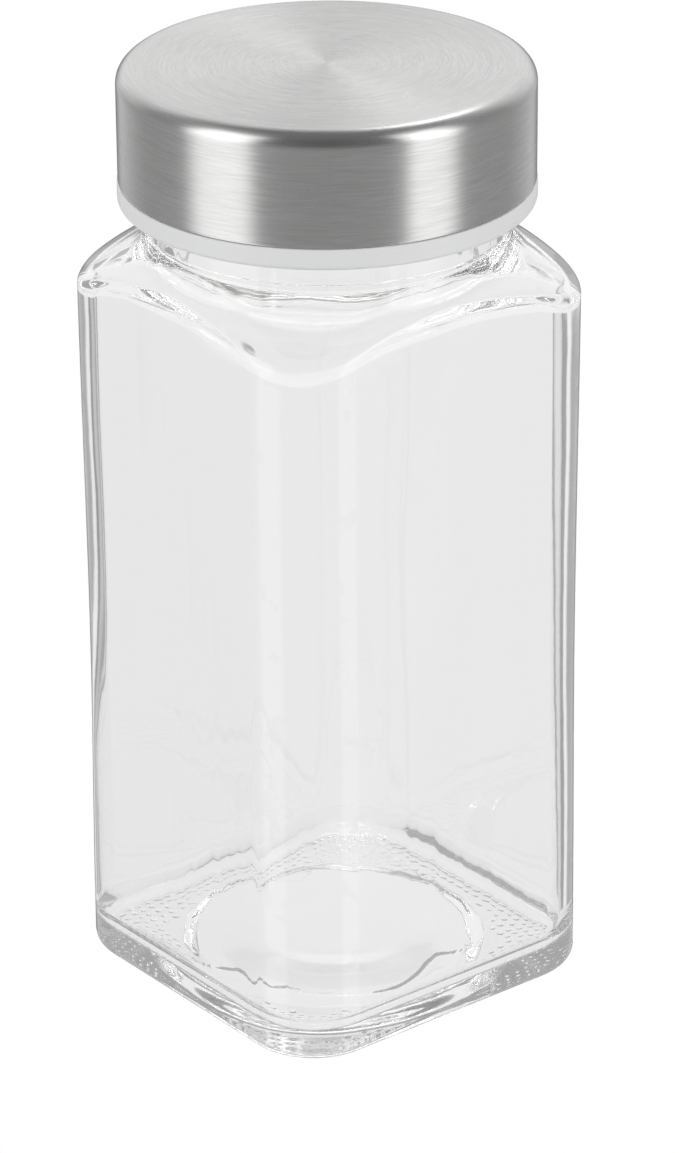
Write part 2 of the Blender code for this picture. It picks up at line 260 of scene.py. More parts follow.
def neck_thread(reach, heights):
    """Pushes the neck's wall out along the thread."""
    rise = np.zeros(len(ANGLES))
    for lap in range(-1, 2):
        turn = ANGLES / (2 * math.pi) + lap
        ends = np.minimum(turn, NECK_THREAD_TURNS - turn) / TAPER
        off = np.abs(heights - THREAD_BASE - THREAD_LEAD * turn)
        bump = smooth((0.0011 - off) / 0.0008)
        rise = np.maximum(rise, np.where(ends > 0, np.sin(np.clip(ends, 0, 1) * QUARTER), 0) * bump)
    return reach + THREAD_DEPTH * rise, heights


def dot_places():
    """Middles of the small dots under the base, in staggered rows along its edges."""
    places = []
    for row in range(5):
        half = DOT_EDGE - row * DOT_PITCH * 0.87
        corner = max(CORNER_RADIUS - (HALF_WIDTH - half), 0.0015)
        straight = 2 * (half - corner)
        arc = QUARTER * corner
        count = round((straight + arc) / DOT_PITCH)
        for quarter in range(4):
            turn = Matrix.Rotation(quarter * QUARTER, 2)
            for step in range(count):
                along = (step + 0.5 * (row % 2)) / count * (straight + arc)
                if along < straight:
                    place = Vector((half, along - straight / 2))
                else:
                    bend = (along - straight) / corner
                    across = half - corner + corner * math.cos(bend)
                    place = Vector((across, straight / 2 + corner * math.sin(bend)))
                if place.length > PUNT_RADIUS + 0.0006:
                    places.append(turn @ place)
    return np.array(places)


def dotted(points, places):
    """Raises the flat ring under the base between its dots."""
    rise = np.ones(len(points))
    for x, y in places:
        near = np.hypot(points[:, 0] - x, points[:, 1] - y) / DOT_RADIUS
        rise = np.minimum(rise, 1 - np.where(near < 1, 0.5 + 0.5 * np.cos(math.pi * np.minimum(near, 1)), 0))
    points[:, 2] = DOT_HEIGHT * rise
    return points


# Where the fold in the inside floor runs: turn in degrees, distance from the axis in mm
FOLD = (
    (7, 15), (22, 17), (34, 18.5), (41, 19.5), (47, 19), (53, 18), (57, 16.5), (63, 14.5), (67, 12.5),
    (73, 10.5), (81, 11.5), (87, 13), (90, 14.5), (94, 15.7), (109, 15), (123, 15), (136, 15.5),
    (147, 16.5), (157, 17.8), (166, 18.6), (176, 17), (189, 15), (199, 16.3), (205, 16.8), (212, 16),
    (219, 16.6), (228, 16.8), (239, 17.3), (251, 16.8), (261, 16), (279, 14.2), (287, 14), (294, 15.5),
    (302, 16.6), (313, 15.2), (333, 14.4), (350, 14.3),
)


def folded(points):
    """Presses the fold into the inside floor and lifts what lies within it a little."""
    turn = np.degrees(np.arctan2(points[:, 1], points[:, 0])) % 360
    line = np.interp(turn, [t for t, r in FOLD], [r * MM for t, r in FOLD], period=360)
    rough = 0.5 + 0.5 * np.cos(np.radians(turn - 75)) ** 5
    line = line + rough * MM * (0.12 * np.sin(turn * 1.9) + 0.07 * np.sin(turn * 4.3 + 1.0))
    off = np.hypot(points[:, 0], points[:, 1]) - line
    points[:, 2] += 0.00010 * (1 - smooth(off / 0.0009 + 0.5)) - 0.00014 * np.exp(-((off / 0.00022) ** 2))
    return points


def inside_corners(height):
    """Corner radius of the hollow in each direction: low down, the glass is drawn tighter at two corners."""
    left = 0.0016 * float(smooth((0.046 - height) / 0.024))
    right = 0.0006 * float(smooth((0.080 - height) / 0.040))
    return INSIDE_CORNER_RADIUS - np.repeat((0.0, left, 0.0, right), len(ANGLES) // 4)


def jar_rings():
    """The jar's skin: the hollow under it, its foot, sides, shoulder, neck and lip, then its inside."""
    rings = []
    flat_edge = PUNT_RADIUS - PUNT_SOFT
    inner = np.linspace(0.0015, flat_edge, 9)
    for radius in np.concatenate([inner, np.linspace(flat_edge, PUNT_RADIUS, 14)[1:]]):
        fall = smooth((radius - flat_edge) / (PUNT_RADIUS - flat_edge))
        rings.append(ring_at(radius, radius, DOT_HEIGHT + (PUNT_DEPTH - DOT_HEIGHT) * (1 - float(fall))))
    foot = HALF_WIDTH - HEEL_RADIUS
    foot_corner = CORNER_RADIUS - HEEL_RADIUS
    places = dot_places()
    for share in np.linspace(0, 1, 50)[1:]:
        half = PUNT_RADIUS + (foot - PUNT_RADIUS) * share
        corner = PUNT_RADIUS + (foot_corner - PUNT_RADIUS) * share
        rings.append(dotted(ring_at(half, corner, 0.0), places))
    for half, height in arc_points((foot, HEEL_RADIUS), HEEL_RADIUS, -QUARTER, 0.0, 12)[1:-1]:
        lifted = DOT_HEIGHT + height * (1 - DOT_HEIGHT / HEEL_RADIUS)
        rings.append(ring_at(half, CORNER_RADIUS - (HALF_WIDTH - half), lifted))
    foot_radius = GROOVE_RADIUS + FOOT_ROUND * (1 - math.sin(SHOULDER_SLOPE))
    foot_height = NECK_BASE_HEIGHT - (foot_radius - FLARE_RADIUS) * math.tan(SHOULDER_SLOPE)
    shoulder = shoulder_profile(HALF_WIDTH, CORNER_RADIUS, foot_radius, foot_height)
    crease = shoulder[0][2]
    for half, corner, height in side_profile(HALF_WIDTH, CORNER_RADIUS, HEEL_RADIUS, crease, 36):
        inward = -0.00004 * math.sin(math.pi * (height - HEEL_RADIUS) / (crease - HEEL_RADIUS))
        ring = ring_at(half + inward, corner, height, None, (0.3, 0.000014))
        rings.append(arched(ring, HALF_WIDTH, CORNER_RADIUS, crease, foot_height))
    for level in shoulder[1:]:
        rings.append(arched(ring_at(*level), HALF_WIDTH, CORNER_RADIUS, crease, foot_height))
    centre = (GROOVE_RADIUS + FOOT_ROUND, foot_height + FOOT_ROUND * math.cos(SHOULDER_SLOPE))
    neck = arc_points(centre, FOOT_ROUND, -QUARTER - SHOULDER_SLOPE, -2 * QUARTER, 14)[1:]
    neck += arc_points((BEAD_RADIUS - BEAD_FOOT, BEAD_BOTTOM), BEAD_FOOT, -QUARTER, 0.0, 5)
    bead_edge = (BEAD_RADIUS - BEAD_EDGE, BEAD_TOP - BEAD_EDGE + 0.0002)
    neck += arc_points(bead_edge, BEAD_EDGE, 0.0, QUARTER, 5)
    neck += arc_points((NECK_RADIUS + BEAD_FOOT, BEAD_TOP + 0.0005), BEAD_FOOT, -QUARTER, -2 * QUARTER, 3)
    for radius, height in neck:
        rings.append(ring_at(radius, radius, height, uneven_neck))
    for height in np.arange(BEAD_TOP + 0.0007, LIP_HEIGHT - 0.0007, 0.00022):
        rings.append(ring_at(NECK_RADIUS, NECK_RADIUS, height, neck_thread))
    lip = arc_points((NECK_RADIUS - LIP_ROUND, LIP_HEIGHT - LIP_ROUND), LIP_ROUND, 0.0, QUARTER, 6)
    lip += arc_points((BORE_RADIUS + LIP_ROUND, LIP_HEIGHT - LIP_ROUND), LIP_ROUND, QUARTER, 2 * QUARTER, 6)
    for radius, height in lip:
        rings.append(ring_at(radius, radius, height))

    inside_half = HALF_WIDTH - SIDE_WALL
    inside = shoulder_profile(inside_half, INSIDE_CORNER_RADIUS, BORE_RADIUS, BORE_END)
    for height in np.linspace(LIP_HEIGHT - 2 * LIP_ROUND, BORE_END + 0.0004, 10):
        rings.append(ring_at(BORE_RADIUS, BORE_RADIUS, height))
    crease = inside[0][2]
    for half, corner, height in inside[::-1]:
        ring = ring_at(half, corner, height, None, (2.9, 0.00002))
        rings.append(arched(ring, inside_half, INSIDE_CORNER_RADIUS, crease, BORE_END))
    floor_top = FLOOR_HEIGHT + INSIDE_HEEL_RADIUS
    sides = side_profile(inside_half, INSIDE_CORNER_RADIUS, floor_top, crease, 36)
    for half, corner, height in sides[-2::-1]:
        ring = ring_at(half, inside_corners(height), height, None, (4.1, 0.00003))
        rings.append(arched(ring, inside_half, INSIDE_CORNER_RADIUS, crease, BORE_END))
    edge = inside_half - INSIDE_HEEL_RADIUS
    edge_corner = inside_corners(floor_top) - INSIDE_HEEL_RADIUS
    for half, height in arc_points((edge, floor_top), INSIDE_HEEL_RADIUS, 0.0, -QUARTER, 24)[1:]:
        rings.append(folded(ring_at(half, edge_corner + half - edge, height)))
    for share in np.concatenate([np.linspace(1, 0.5, 56)[1:], np.linspace(0.5, 0.05, 9)[1:]]):
        half = edge * share
        turned = float(smooth((1 - share) / 0.3))
        corner = edge_corner * share + (half - edge_corner * share) * turned
        height = FLOOR_HEIGHT + FLOOR_CROWN * float(smooth((1 - share) / 0.65))
        rings.append(folded(ring_at(half, corner, height)))
    return rings


def level_angles(count):
    return np.arange(count) * 2 * math.pi / count


def round_ring(radius, height, angles):
    """One level of a round piece. The radius is one number, or one for each angle."""
    return np.stack([radius * np.cos(angles), radius * np.sin(angles), np.full(len(angles), height)], 1)


def turned_mesh(name, profile, count):
    """A closed round mesh from a profile of (radius, height) that starts and ends near the axis."""
    angles = level_angles(count)
    return closed_skin(name, [round_ring(radius, height, angles) for radius, height in profile])


# Materials

# Bounces between which light that is still inside the glass is let out
TRAPPED_DEPTH = (8.5, 8.6)
# Radius in metres of the circle that the steel's noise follows round the axis: small, so lines are long
LINE_STRETCH = 0.0012


class Paint:
    """A node material under construction."""

    def __init__(self, name):
        self.material = bpy.data.materials.new(name)
        self.material.use_nodes = True
        self.tree = self.material.node_tree
        self.shader = self.tree.nodes["Principled BSDF"]
        self.place = self.node("ShaderNodeTexCoord").outputs["Object"]

    def node(self, kind, **settings):
        made = self.tree.nodes.new(kind)
        for name, value in settings.items():
            setattr(made, name, value)
        return made

    def link(self, source, target):
        self.tree.links.new(source, target)

    def set(self, **values):
        for name, value in values.items():
            self.shader.inputs[name.replace("_", " ")].default_value = value

    def noise(self, vector, scale, detail=2.0, roughness=0.5, distortion=0.0):
        made = self.node("ShaderNodeTexNoise")
        made.inputs["Scale"].default_value = scale
        made.inputs["Detail"].default_value = detail
        made.inputs["Roughness"].default_value = roughness
        made.inputs["Distortion"].default_value = distortion
        self.link(vector, made.inputs["Vector"])
        return made.outputs["Fac"]

    def math(self, operation, one, two=None, clamp=False):
        made = self.node("ShaderNodeMath", operation=operation, use_clamp=clamp)
        for socket, value in zip(made.inputs, (one, two)):
            if value is None:
                continue
            if isinstance(value, (int, float)):
                socket.default_value = value
            else:
                self.link(value, socket)
        return made.outputs[0]

    def span(self, value, low, high, to_low, to_high):
        made = self.node("ShaderNodeMapRange")
        self.link(value, made.inputs["Value"])
        ends = (("From Min", low), ("From Max", high), ("To Min", to_low), ("To Max", to_high))
        for name, number in ends:
            made.inputs[name].default_value = number
        return made.outputs["Result"]

    def mix(self, factor, one, two):
        made = self.node("ShaderNodeMix", data_type="RGBA")
        self.link(factor, made.inputs["Factor"])
        for socket, value in ((made.inputs[6], one), (made.inputs[7], two)):
            if isinstance(value, tuple):
                socket.default_value = value
            else:
                self.link(value, socket)
        return made.outputs[2]

    def bump(self, height, strength, distance, before=None):
        made = self.node("ShaderNodeBump")
        made.inputs["Strength"].default_value = strength
        made.inputs["Distance"].default_value = distance
        self.link(height, made.inputs["Height"])
        if before is not None:
            self.link(before, made.inputs["Normal"])
        return made.outputs["Normal"]


def glass_paint():
    paint = Paint("clear_glass")
    paint.set(Base_Color=(1.0, 1.0, 1.0, 1.0), Transmission_Weight=1.0, IOR=1.5)
    ripple = paint.noise(paint.place, 55.0, 1.0)
    fine = paint.noise(paint.place, 260.0, 2.0)
    one = paint.bump(ripple, 0.25, 0.0006)
    two = paint.bump(fine, 0.06, 0.0002, one)
    paint.link(two, paint.shader.inputs["Normal"])
    split = paint.node("ShaderNodeSeparateXYZ")
    paint.link(paint.place, split.inputs[0])
    underside = paint.span(split.outputs[2], 0.0002, 0.0006, 0.16, 0.0)
    smear = paint.span(fine, 0.3, 0.8, 0.0, 0.02)
    paint.link(paint.math("MAXIMUM", underside, smear), paint.shader.inputs["Roughness"])
    # After that many bounces light gets out straight, instead of ending in the glass as a black speck
    depth = paint.node("ShaderNodeLightPath").outputs["Ray Depth"]
    paint.link(paint.span(depth, *TRAPPED_DEPTH, 1.0, 0.0), paint.shader.inputs["Alpha"])
    return paint.material


def steel_paint():
    """Steel with fine lines that run round the axis, on the top and on the side."""
    paint = Paint("spun_steel")
    split = paint.node("ShaderNodeSeparateXYZ")
    paint.link(paint.place, split.inputs[0])
    x, y, z = split.outputs
    flat = paint.node("ShaderNodeCombineXYZ")
    paint.link(x, flat.inputs[0])
    paint.link(y, flat.inputs[1])
    length = paint.node("ShaderNodeVectorMath", operation="LENGTH")
    paint.link(flat.outputs[0], length.inputs[0])
    round_way = paint.node("ShaderNodeVectorMath", operation="NORMALIZE")
    paint.link(flat.outputs[0], round_way.inputs[0])
    around = paint.node("ShaderNodeSeparateXYZ")
    paint.link(round_way.outputs[0], around.inputs[0])
    track = paint.math("SUBTRACT", length.outputs["Value"], z)
    lines = paint.node("ShaderNodeCombineXYZ")
    paint.link(track, lines.inputs[0])
    for source, target in zip(around.outputs[:2], lines.inputs[1:]):
        paint.link(paint.math("MULTIPLY", source, LINE_STRETCH), target)
    fine = paint.noise(lines.outputs[0], 5200.0, 3.0, 0.6)
    broad = paint.noise(lines.outputs[0], 1300.0, 2.0, 0.5)
    smudge = paint.noise(paint.place, 90.0, 3.0, 0.6)
    grain = paint.math("ADD", paint.math("MULTIPLY", fine, 0.7), paint.math("MULTIPLY", broad, 0.3))
    share = paint.span(grain, 0.3, 0.7, 0.0, 1.0)
    colour = paint.mix(share, (0.57, 0.57, 0.565, 1.0), (0.69, 0.69, 0.685, 1.0))
    paint.link(colour, paint.shader.inputs["Base Color"])
    paint.set(Metallic=1.0, Anisotropic=0.8, Anisotropic_Rotation=0.25)
    tangent = paint.node("ShaderNodeTangent", direction_type="RADIAL", axis="Z")
    paint.link(tangent.outputs[0], paint.shader.inputs["Tangent"])
    paint.link(paint.span(smudge, 0.35, 0.7, 0.25, 0.29), paint.shader.inputs["Roughness"])
    paint.link(paint.bump(grain, 0.04, 0.00006), paint.shader.inputs["Normal"])
    return paint.material


def plastic_paint(name, colour, roughness, inner):
    paint = Paint(name)
    soft = paint.noise(paint.place, 160.0, 3.0)
    low = tuple(c * 0.965 for c in colour) + (1.0,)
    high = tuple(colour) + (1.0,)
    paint.link(paint.mix(soft, low, high), paint.shader.inputs["Base Color"])
    grain = paint.noise(paint.place, 2600.0, 2.0)
    rough = paint.span(grain, 0.3, 0.7, roughness - 0.04, roughness + 0.05)
    paint.link(rough, paint.shader.inputs["Roughness"])
    paint.link(paint.bump(grain, 0.08, 0.00005), paint.shader.inputs["Normal"])
    paint.set(Subsurface_Weight=inner, Subsurface_Radius=(1.0, 1.0, 1.0), Subsurface_Scale=0.0008)
    return paint.material


def foam_paint():
    paint = Paint("white_foam")
    cells = paint.node("ShaderNodeTexVoronoi")
    cells.inputs["Scale"].default_value = 2400.0
    paint.link(paint.place, cells.inputs["Vector"])
    gap = cells.outputs["Distance"]
    # The cells' pits are painted darker: painted shade in the pits that the bump below also sinks.
    colour = paint.mix(paint.span(gap, 0.0, 0.7, 0.0, 1.0), (0.86, 0.86, 0.84, 1.0), (0.94, 0.94, 0.92, 1.0))
    paint.link(colour, paint.shader.inputs["Base Color"])
    paint.set(Roughness=0.85)
    paint.link(paint.bump(gap, 0.4, 0.0001), paint.shader.inputs["Normal"])
    return paint.material


# Pieces

jar = closed_skin("jar_glass", jar_rings())
add_object("jar_glass", jar, "bottle", "glass_bottle", glass_paint())

steel_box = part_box("steel_cap")
STEEL_BOTTOM = steel_box[0].z
STEEL_TOP = steel_box[1].z
STEEL_RADIUS = steel_box[1].x
SHEET = 0.0004
SHEET_EDGE = 0.0001


def steel_profile():
    """The drawn shell: down its outside, round its edge and up its inside."""
    profile = [(TIP, STEEL_TOP)]
    for radius in np.linspace(0.003, STEEL_RADIUS - TOP_ROUND - 0.001, 8):
        profile.append((radius, STEEL_TOP))
    profile += arc_points((STEEL_RADIUS - TOP_ROUND, STEEL_TOP - TOP_ROUND), TOP_ROUND, QUARTER, 0.0, 16)
    for height in np.linspace(STEEL_TOP - TOP_ROUND - 0.001, STEEL_BOTTOM + SHEET, 10):
        profile.append((STEEL_RADIUS, height))
    corner = (STEEL_RADIUS - SHEET_EDGE, STEEL_BOTTOM + SHEET_EDGE)
    profile += arc_points(corner, SHEET_EDGE, 0.0, -QUARTER, 3)
    bore = STEEL_RADIUS - SHEET
    profile += [(bore + SHEET_EDGE, STEEL_BOTTOM), (bore, STEEL_BOTTOM + SHEET_EDGE)]
    inner = TOP_ROUND - SHEET
    profile += arc_points((bore - inner, STEEL_TOP - SHEET - inner), inner, 0.0, QUARTER, 8)
    profile += [(TIP, STEEL_TOP - SHEET)]
    return profile


steel = turned_mesh("steel_shell", steel_profile(), 320)
add_object("steel_shell", steel, "cap", "steel_cap", steel_paint())

plastic_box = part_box("inner_cap")
RIM_BOTTOM = plastic_box[0].z
RIM_TOP = STEEL_BOTTOM - 0.00005
RIM_RADIUS = plastic_box[1].x
PLASTIC_TOP = plastic_box[1].z
PLASTIC_RADIUS = 0.0225
CAP_BORE = 0.0205
SEAL_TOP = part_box("seal_disc")[1].z
# The cap's thread starts this far above the cap's edge
CAP_THREAD_RISE = 0.00155
CAP_THREAD_START = (RIM_BOTTOM + CAP_THREAD_RISE - THREAD_BASE + THREAD_LEAD / 2) / THREAD_LEAD


def cap_thread(reach, heights, angles):
    """Pulls the cap's bore in along its thread, which runs in the middle of the neck's groove."""
    rise = np.zeros(len(angles))
    for lap in range(-2, 3):
        turn = angles / (2 * math.pi) + lap
        ends = np.minimum(turn - CAP_THREAD_START, CAP_THREAD_START + CAP_THREAD_TURNS - turn) / TAPER
        off = np.abs(heights - THREAD_BASE + THREAD_LEAD / 2 - THREAD_LEAD * turn)
        bump = smooth((0.00105 - off) / 0.0008)
        rise = np.maximum(rise, np.where(ends > 0, np.sin(np.clip(ends, 0, 1) * QUARTER), 0) * bump)
    return reach - THREAD_DEPTH * rise


def plastic_rings(count):
    """The cap's skin: its top, side and rim, then its threaded bore and its ceiling."""
    crown = TOP_ROUND - SHEET - CLEARANCE
    edge = 0.0007
    small = 0.0002
    outside = [(TIP, PLASTIC_TOP)]
    outside += [(radius, PLASTIC_TOP) for radius in np.linspace(0.004, PLASTIC_RADIUS - crown - 0.001, 5)]
    outside += arc_points((PLASTIC_RADIUS - crown, PLASTIC_TOP - crown), crown, QUARTER, 0.0, 8)
    outside += [(PLASTIC_RADIUS, RIM_TOP + small)]
    outside += arc_points((PLASTIC_RADIUS + small, RIM_TOP + small), small, -2 * QUARTER, -QUARTER, 3)
    outside += arc_points((RIM_RADIUS - small, RIM_TOP - small), small, QUARTER, 0.0, 4)
    outside += arc_points((RIM_RADIUS - edge, RIM_BOTTOM + edge), edge, 0.0, -QUARTER, 8)
    outside += arc_points((CAP_BORE + edge, RIM_BOTTOM + edge), edge, -QUARTER, -2 * QUARTER, 8)
    angles = level_angles(count)
    rings = [round_ring(radius, height, angles) for radius, height in outside]
    ceiling = SEAL_TOP + CLEARANCE
    for height in np.arange(RIM_BOTTOM + edge + small, ceiling - 0.0004, 0.0002):
        reach = cap_thread(np.full(count, CAP_BORE), np.full(count, height), angles)
        rings.append(round_ring(reach, height, angles))
    fillet = 0.0003
    inside = arc_points((CAP_BORE - fillet, ceiling - fillet), fillet, 0.0, QUARTER, 4)
    inside += [(radius, ceiling) for radius in (0.016, 0.012, 0.008, 0.004, TIP)]
    rings += [round_ring(radius, height, angles) for radius, height in inside]
    return rings


cap = closed_skin("threaded_cap", plastic_rings(288))
cap_plastic = plastic_paint("milky_plastic", (0.80, 0.805, 0.805), 0.36, 0.35)
add_object("threaded_cap", cap, "cap", "inner_cap", cap_plastic)


def seal_profile():
    """The seal's section: a flat disc with soft edges and the ring that the mouth presses into it."""
    low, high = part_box("seal_disc")
    edge = high.x
    soft = 0.0003
    groove = 0.00012
    profile = [(TIP, high.z)]
    profile += [(radius, high.z) for radius in np.linspace(0.004, edge - 0.002, 6)]
    profile += arc_points((edge - soft, high.z - soft), soft, QUARTER, 0.0, 5)
    profile += arc_points((edge - soft, low.z + soft), soft, 0.0, -QUARTER, 5)
    for radius in np.linspace(edge - 0.0012, 0.0150, 12):
        press = float(smooth((radius - 0.0152) / 0.0008) * smooth((0.0192 - radius) / 0.0008))
        profile.append((radius, low.z + groove * press))
    profile += [(radius, low.z) for radius in (0.012, 0.008, 0.004, TIP)]
    return profile


liner = turned_mesh("foam_liner", seal_profile(), 192)
add_object("foam_liner", liner, "seal", "seal_disc", foam_paint())

HOLE_CIRCLE = 0.0065
HOLE_RADIUS = 0.00125
SIFTER_HOLES = [(0.0, 0.0)]
for sixth in range(6):
    bearing = sixth * math.pi / 3
    SIFTER_HOLES.append((HOLE_CIRCLE * math.cos(bearing), HOLE_CIRCLE * math.sin(bearing)))


def sifter_profile():
    """The sifter's section: a flanged plate with a groove on top, and a plug with two soft beads."""
    low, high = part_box("shaker_insert")
    flange = high.x
    plate = LIP_HEIGHT + CLEARANCE
    plug = BORE_RADIUS - CLEARANCE
    bore = plug - 0.0010
    groove = 0.00012
    soft = 0.0003
    small = 0.0002
    fillet = 0.0004
    profile = [(TIP, high.z)]
    profile += [(radius, high.z) for radius in (0.003, 0.006, 0.009, 0.0125)]
    profile += [(0.0131, high.z), (0.0134, high.z - groove), (0.0144, high.z - groove), (0.0147, high.z)]
    profile += arc_points((flange - soft, high.z - soft), soft, QUARTER, 0.0, 5)
    profile += [(flange, plate + 0.0001), (flange - 0.0001, plate), (plug + small, plate)]
    profile += [(plug, plate - small)]
    for middle in (plate - 0.00175, plate - 0.0035):
        for step in np.linspace(-1, 1, 9):
            profile.append((plug + 0.00015 * math.cos(step * QUARTER), middle - 0.00035 * step))
    profile += arc_points((plug - soft, low.z + soft), soft, 0.0, -QUARTER, 5)
    profile += arc_points((bore + small, low.z + small), small, -QUARTER, -2 * QUARTER, 3)
    profile += arc_points((bore - fillet, plate - fillet), fillet, 0.0, QUARTER, 5)
    profile += [(radius, plate) for radius in (0.0125, 0.009, 0.006, 0.003, TIP)]
    return profile


def hole_cutter(x, y):
    """A spool whose flared ends round off both edges of one hole."""
    low = LIP_HEIGHT + CLEARANCE
    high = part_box("shaker_insert")[1].z
    past = 0.001
    flare = 0.0002
    near = HOLE_RADIUS + flare
    wide = HOLE_RADIUS + 0.0006
    profile = [(0.0001, low - past), (wide, low - past), (wide, low - flare), (near, low - 0.00001)]
    profile += arc_points((near, low + flare), flare, 3 * QUARTER, 2 * QUARTER, 4)[1:]
    profile += arc_points((near, high - flare), flare, 2 * QUARTER, QUARTER, 4)[:-1]
    profile += [(near, high + 0.00001), (wide, high + flare), (wide, high + past), (0.0001, high + past)]
    mesh = turned_mesh("hole", profile, 40)
    mesh.transform(Matrix.Translation((x, y, 0)))
    return mesh


def pierced(mesh, cutters):
    """Cuts the cutters out of a mesh and gives back the finished mesh."""
    work = bmesh.new()
    for cutter in cutters:
        work.from_mesh(cutter)
    joined = bpy.data.meshes.new("holes")
    work.to_mesh(joined)
    work.free()
    body = bpy.data.objects.new("body", mesh)
    tool = bpy.data.objects.new("tool", joined)
    for made in (body, tool):
        bpy.context.scene.collection.objects.link(made)
    cut = body.modifiers.new("holes", "BOOLEAN")
    cut.operation = "DIFFERENCE"
    cut.solver = "EXACT"
    cut.object = tool
    bpy.context.view_layer.update()
    result = bpy.data.meshes.new_from_object(body.evaluated_get(bpy.context.evaluated_depsgraph_get()))
    for made in (body, tool):
        bpy.data.objects.remove(made, do_unlink=True)
    result.shade_smooth()
    result.set_sharp_from_angle(angle=math.radians(40))
    return result


blank = turned_mesh("sifter", sifter_profile(), 224)
sifter = pierced(blank, [hole_cutter(x, y) for x, y in SIFTER_HOLES])
sifter_plastic = plastic_paint("white_plastic", (0.90, 0.90, 0.89), 0.42, 0.15)
add_object("sifter", sifter, "bottle", "shaker_insert", sifter_plastic)

# Floor, light and camera

# The camera's directions: level and away from the jar, level and to the right
BACK = Vector((-0.6211, -0.7837, 0.0))
RIGHT = Vector((0.7837, -0.6211, 0.0))
ELEVATION = math.radians(24.57)
ROLL = math.radians(-0.45)
DISTANCE = 0.604
FOCAL_PIXELS = 5277.0
FRAME_HEIGHT = 1153.0
SENSOR = 36.0
FLOOR_SIDE = 3.0
FLOOR_GAP = 0.0002
FILL_HEIGHT = 0.0915
FILL_POWER = 0.02

# Brightness of the studio that the outside of the object mirrors, low down and high up, by degrees
# from the camera (to its right is positive)
STRIP = 1.32
LOW_STOPS = (
    (-180, 0.05), (-166, 0.16), (-152, 0.68), (-140, 0.56), (-118, 0.38), (-84, 0.4), (-74, STRIP),
    (-46, STRIP), (-38, 0.38), (0, 0.38), (42, 0.38), (48, STRIP), (70, STRIP), (79, 0.40), (118, 0.38),
    (140, 0.56), (152, 0.68), (166, 0.16), (180, 0.05),
)
HIGH_STRIP = 1.92
HIGH_STOPS = (
    (-180, 0.96), (-150, 0.96), (-128, 0.64), (-112, 0.32), (-84, 0.3), (-74, HIGH_STRIP),
    (-46, HIGH_STRIP), (-36, 0.19), (0, 0.11), (39, 0.19), (48, HIGH_STRIP), (70, HIGH_STRIP), (80, 0.3),
    (112, 0.32), (128, 0.64), (150, 0.96), (180, 0.96),
)
OVERHEAD = 0.20
LAMP = 4.0
# Brightness of what the glass mirrors from its inner faces as well as from its outer ones
SINGULAR = 0.42
SINGULAR_SHARE = 0.6

# Brightness seen through the glass: low down, near the horizon, after many reflections inside the
# glass, and for light that is let out of it
THROUGH = 0.84
THROUGH_HIGH = 0.91
INNER = 0.84
TRAPPED = 0.38
# Brightness of the low cards behind the jar, by degrees from straight behind it: seen straight
# through the glass, and after one or more reflections inside it
CARD_STOPS = (
    (-180, THROUGH), (-70, THROUGH), (-62, 0.24), (-56, 0.36), (-53, 0.5), (-46, 0.5), (-43, 0.22),
    (-40, 0.22), (-36, 0.8), (-26, 0.8), (-21.5, 0.7), (-19.8, 0.36), (-18, 0.36), (-16.8, THROUGH),
    (17.5, THROUGH), (20, 0.34), (24, 0.34), (26, 0.8), (36, 0.8), (40, 0.22), (43, 0.22), (46, 0.5),
    (53, 0.5), (56, 0.36), (62, 0.24), (70, THROUGH), (180, THROUGH),
)
INNER_STOPS = (
    (-180, THROUGH), (-70, THROUGH), (-62, 0.3), (-55, 0.36), (-51.5, 0.38), (-48.5, 0.9), (-44, 0.95),
    (-40, 0.83), (-36, 0.48), (-30, 0.39), (-20, 0.40), (-14, 0.42), (-8, 0.36), (0, 0.33), (14, 0.34),
    (19, 0.36), (22, 0.6), (26, 0.92), (31, 0.92), (37, 0.82), (40, 0.28), (44, 0.28), (46.5, 0.5),
    (52, 0.52), (56, 0.4), (62, 0.3), (70, THROUGH), (180, THROUGH),
)


